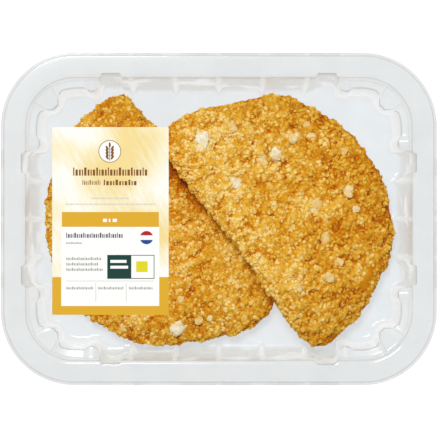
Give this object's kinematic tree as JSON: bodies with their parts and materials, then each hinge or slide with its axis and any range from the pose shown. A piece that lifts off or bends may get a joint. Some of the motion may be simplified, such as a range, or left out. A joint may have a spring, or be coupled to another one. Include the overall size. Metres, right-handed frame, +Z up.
{
  "type": "tray pack of breaded schnitzels",
  "caption": "Clear sealed food tray holding two overlapping breaded cutlets, with a clear lidding film and a plain printed paper label.",
  "frame": {"origin": "centre of the tray's flat underside", "axes": "+X along the tray's long side, +Y along its short side, +Z up out of the tray towards the film"},
  "size_m": [0.227, 0.173, 0.0404],
  "materials": {
    "tray_plastic": "clear thermoformed sheet, slightly milky",
    "lid_film": "very clear glossy film",
    "label_paper": "coated paper, printed",
    "crumb_coat": "coarse golden breadcrumbs"
  },
  "bodies": {
    "root": {"tray": "tray_plastic", "film": "lid_film", "label": "label_paper", "schnitzel_back": "crumb_coat", "schnitzel_front": "crumb_coat"}
  },
  "joints": []
}
